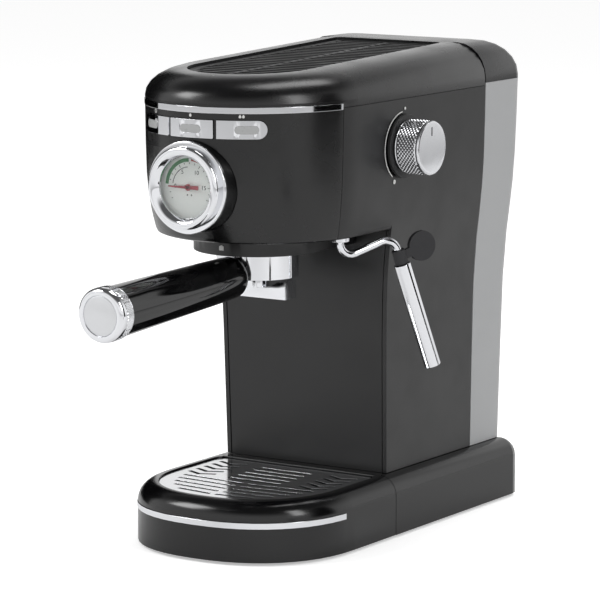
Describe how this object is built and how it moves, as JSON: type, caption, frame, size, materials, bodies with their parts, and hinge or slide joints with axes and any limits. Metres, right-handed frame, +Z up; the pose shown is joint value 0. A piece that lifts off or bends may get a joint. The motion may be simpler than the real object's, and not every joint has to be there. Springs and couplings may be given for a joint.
{
  "type": "espresso machine",
  "caption": "Slim home espresso machine with pressure gauge, portafilter, steam wand, rocker keys, drip tray and rear water tank.",
  "frame": {"origin": "on the counter under the centre of the front foot, on the vertical axis of the brew group", "axes": "+Z up, -Y towards the user (the front, where the handle points), +X to the right of someone facing the machine"},
  "size_m": [0.1679, 0.3844, 0.3108],
  "materials": {
    "gloss_black": "polished moulded black plastic",
    "satin_black": "satin moulded black plastic",
    "inner_plastic": "plain moulded",
    "chrome": "bright plated",
    "steel": "plain stainless",
    "aluminium": "cast",
    "brass": "machined",
    "rubber": "matte silicone or rubber",
    "lamp_lens": "smoked lens",
    "dial_white": "printed dial",
    "needle_red": "painted",
    "clear_glass": "polished",
    "tank_grey": "smoked translucent plastic",
    "board_green": "solder mask",
    "pump_red": "moulded coil",
    "hose": "silicone and PTFE hose"
  },
  "bodies": {
    "machine": {"base_shell": "gloss_black", "base_plate": "inner_plastic", "base_screws": "steel", "feet": "rubber", "cord_gland": "rubber", "column_front": "satin_black", "side_panel_left": "satin_black", "side_panel_right": "satin_black", "tank_bay": "inner_plastic", "tank_seat": "inner_plastic", "head_front": "gloss_black", "group_cover": "satin_black", "top_cap": "gloss_black", "cup_tray": "satin_black", "head_trim": "chrome", "switch_carrier": "inner_plastic", "key_switches": "inner_plastic", "gauge_housing": "gloss_black", "gauge_flange": "chrome", "gauge_bezel": "chrome", "gauge_dial": "dial_white", "gauge_glass": "clear_glass", "knob_collar": "satin_black", "steam_valve": "brass", "wand_socket": "chrome", "group_head": "aluminium", "group_gasket": "rubber", "shower_screen": "steel", "shower_screw": "steel", "boiler": "aluminium", "boiler_bolts": "steel", "thermostats": "inner_plastic", "pump": "pump_red", "pump_mounts": "rubber", "pump_bracket": "inner_plastic", "power_board": "board_green", "hoses": "hose"},
    "power_key": {"key_power": "chrome", "lens_power": "lamp_lens"},
    "single_key": {"key_single": "chrome", "lens_single": "lamp_lens"},
    "double_key": {"key_double": "chrome", "lens_double": "lamp_lens"},
    "needle": {"gauge_needle": "needle_red"},
    "knob": {"steam_knob": "chrome", "valve_stem": "steel"},
    "wand": {"steam_tube": "chrome", "steam_grip": "rubber"},
    "frother": {"frother_sleeve": "chrome"},
    "portafilter": {"portafilter_body": "chrome", "filter_basket": "steel", "portafilter_spout": "chrome", "portafilter_handle": "gloss_black", "handle_cap": "chrome", "handle_bolt": "steel"},
    "tray": {"drip_tray": "gloss_black", "base_trim": "chrome"},
    "plate": {"drip_plate": "chrome"},
    "tank": {"water_tank": "tank_grey"},
    "lid": {"tank_lid": "gloss_black"}
  },
  "joints": [
    {"name": "power_key_press", "type": "slide", "parent": "machine", "child": "power_key", "axis": [0.4955, 0.8686, 0], "range_m": [0, 0.0012], "stiffness_N_per_m": 400, "springref_m": -0.0005},
    {"name": "single_key_press", "type": "slide", "parent": "machine", "child": "single_key", "axis": [0, 1, 0], "range_m": [0, 0.0012], "stiffness_N_per_m": 400, "springref_m": -0.0005},
    {"name": "double_key_press", "type": "slide", "parent": "machine", "child": "double_key", "axis": [-0.4955, 0.8686, 0], "range_m": [0, 0.0012], "stiffness_N_per_m": 400, "springref_m": -0.0005},
    {"name": "needle_swing", "type": "hinge", "parent": "machine", "child": "needle", "pos_m": [0, -0.0775, 0.236], "axis": [0, 1, 0], "range_deg": [0, 210], "stiffness_Nm_per_rad": 0.0005, "springref_deg": -11.46},
    {"name": "steam_knob_turn", "type": "hinge", "parent": "machine", "child": "knob", "pos_m": [0.076, 0.06, 0.253], "axis": [1, 0, 0], "range_deg": [0, 190]},
    {"name": "wand_swivel", "type": "hinge", "parent": "machine", "child": "wand", "pos_m": [0.057, 0.008, 0.2], "axis": [0, 0, 1], "range_deg": [-75, 10]},
    {"name": "frother_pull", "type": "slide", "parent": "wand", "child": "frother", "axis": [0.1528, 0.2875, -0.9455], "range_m": [0, 0.06]},
    {"name": "portafilter_turn", "type": "hinge", "parent": "machine", "child": "portafilter", "pos_m": [0, 0, 0.185], "axis": [0, 0, 1], "range_deg": [-45, 0]},
    {"name": "tray_slide", "type": "slide", "parent": "machine", "child": "tray", "axis": [0, -1, 0], "range_m": [0, 0.12]},
    {"name": "plate_lift", "type": "slide", "parent": "tray", "child": "plate", "axis": [0, 0, 1], "range_m": [0, 0.03]},
    {"name": "tank_lift", "type": "slide", "parent": "machine", "child": "tank", "axis": [0, 0, 1], "range_m": [0, 0.08]},
    {"name": "lid_lift", "type": "slide", "parent": "tank", "child": "lid", "axis": [0, 0, 1], "range_m": [0, 0.04]}
  ]
}
